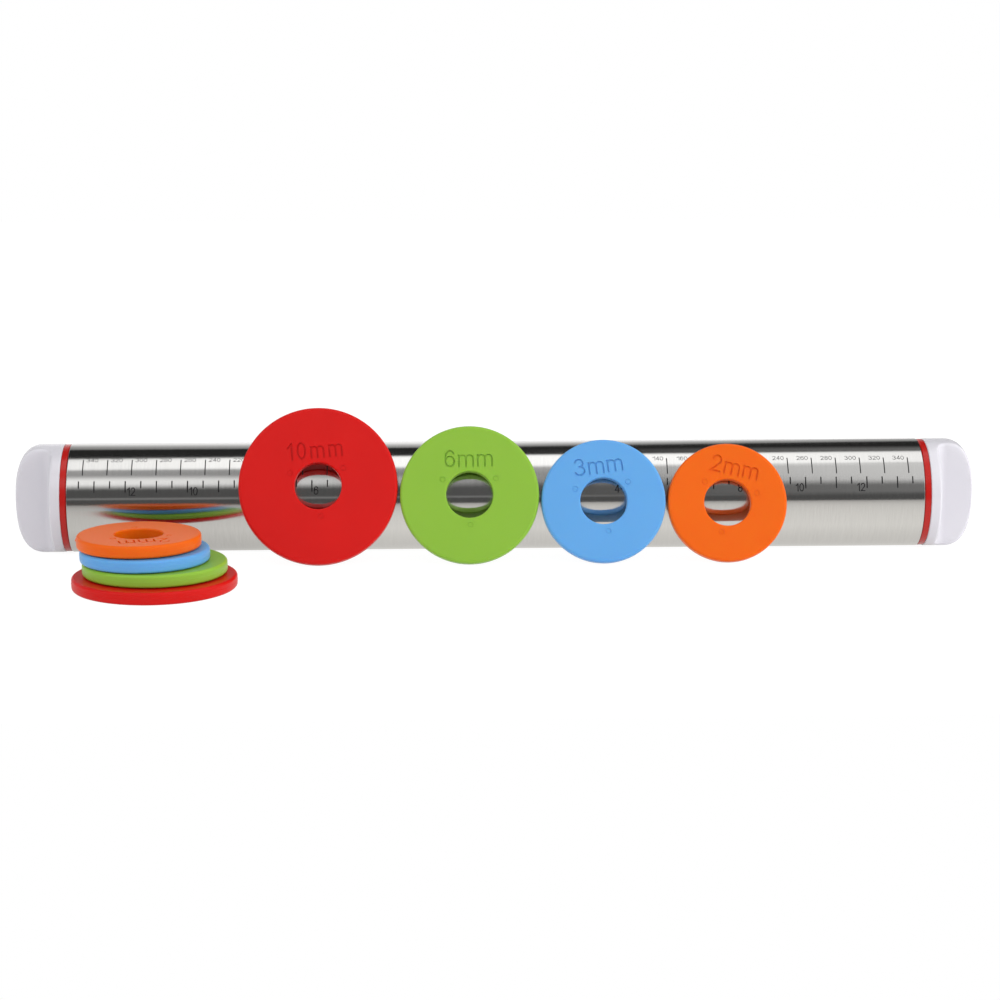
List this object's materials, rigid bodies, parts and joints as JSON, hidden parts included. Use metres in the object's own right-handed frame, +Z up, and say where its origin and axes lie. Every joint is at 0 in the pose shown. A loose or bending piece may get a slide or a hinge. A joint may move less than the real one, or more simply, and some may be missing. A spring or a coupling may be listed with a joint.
{
  "type": "adjustable rolling pin",
  "caption": "Steel rolling pin with screw-in knobs over red collars, and coloured thickness rings that lean on the barrel and lie in a stack beside it.",
  "frame": {"origin": "on the table, under the middle of the box around the whole set", "axes": "+X along the barrel to its right end, +Z up, +Y from the stack of rings towards the barrel"},
  "size_m": [0.3994, 0.1226, 0.0622],
  "materials": {
    "brushed_steel": "brushed around the barrel, satin",
    "grey_plastic": "moulded, matt",
    "white_plastic": "moulded, semi-gloss",
    "collar_red": "moulded, glossy",
    "screw_steel": "bright zinc",
    "ring_red": "moulded, satin",
    "ring_green": "moulded, satin",
    "ring_blue": "moulded, satin",
    "ring_orange": "moulded, satin"
  },
  "bodies": {
    "barrel": {"barrel_tube": "brushed_steel", "end_plug_left": "grey_plastic", "end_plug_right": "grey_plastic"},
    "collar_left": {"end_collar_left": "collar_red"},
    "collar_right": {"end_collar_right": "collar_red"},
    "knob_left": {"knob_grip_left": "white_plastic", "knob_stem_left": "white_plastic", "knob_screw_left_upper": "screw_steel", "knob_screw_left_lower": "screw_steel"},
    "knob_right": {"knob_grip_right": "white_plastic", "knob_stem_right": "white_plastic", "knob_screw_right_upper": "screw_steel", "knob_screw_right_lower": "screw_steel"},
    "leaning_10mm": {"ring_10mm_leaning": "ring_red"},
    "leaning_6mm": {"ring_6mm_leaning": "ring_green"},
    "leaning_3mm": {"ring_3mm_leaning": "ring_blue"},
    "leaning_2mm": {"ring_2mm_leaning": "ring_orange"},
    "stacked_10mm": {"ring_10mm_stacked": "ring_red"},
    "stacked_6mm": {"ring_6mm_stacked": "ring_green"},
    "stacked_3mm": {"ring_3mm_stacked": "ring_blue"},
    "stacked_2mm": {"ring_2mm_stacked": "ring_orange"}
  },
  "joints": [
    {"name": "collar_left_travel", "type": "slide", "parent": "barrel", "child": "collar_left", "axis": [-1, 0, 0], "range_m": [0, 0.0151]},
    {"name": "collar_right_travel", "type": "slide", "parent": "barrel", "child": "collar_right", "axis": [1, 0, 0], "range_m": [0, 0.0151]},
    {"name": "knob_left_turn", "type": "hinge", "parent": "collar_left", "child": "knob_left", "pos_m": [-0.1765, 0.03875, 0.0225], "axis": [-1, 0, 0], "range_deg": [0, 1800]},
    {"name": "knob_right_turn", "type": "hinge", "parent": "collar_right", "child": "knob_right", "pos_m": [0.1765, 0.03875, 0.0225], "axis": [1, 0, 0], "range_deg": [0, 1800]},
    {"name": "lift_leaning_10mm", "type": "slide", "parent": "barrel", "child": "leaning_10mm", "axis": [0, 0, 1], "range_m": [0, 0.08]},
    {"name": "lift_leaning_6mm", "type": "slide", "parent": "barrel", "child": "leaning_6mm", "axis": [0, 0, 1], "range_m": [0, 0.08]},
    {"name": "lift_leaning_3mm", "type": "slide", "parent": "barrel", "child": "leaning_3mm", "axis": [0, 0, 1], "range_m": [0, 0.08]},
    {"name": "lift_leaning_2mm", "type": "slide", "parent": "barrel", "child": "leaning_2mm", "axis": [0, 0, 1], "range_m": [0, 0.08]},
    {"name": "lift_stacked_10mm", "type": "slide", "parent": "barrel", "child": "stacked_10mm", "axis": [0, 0, 1], "range_m": [0, 0.02]},
    {"name": "lift_stacked_6mm", "type": "slide", "parent": "stacked_10mm", "child": "stacked_6mm", "axis": [0, 0, 1], "range_m": [0, 0.02]},
    {"name": "lift_stacked_3mm", "type": "slide", "parent": "stacked_6mm", "child": "stacked_3mm", "axis": [0, 0, 1], "range_m": [0, 0.02]},
    {"name": "lift_stacked_2mm", "type": "slide", "parent": "stacked_3mm", "child": "stacked_2mm", "axis": [0, 0, 1], "range_m": [0, 0.02]}
  ],
  "couplings": [
    {"joint": "collar_left_travel", "follows": "knob_left_turn", "m_per_rad": 0.00047746},
    {"joint": "collar_right_travel", "follows": "knob_right_turn", "m_per_rad": 0.00047746}
  ]
}
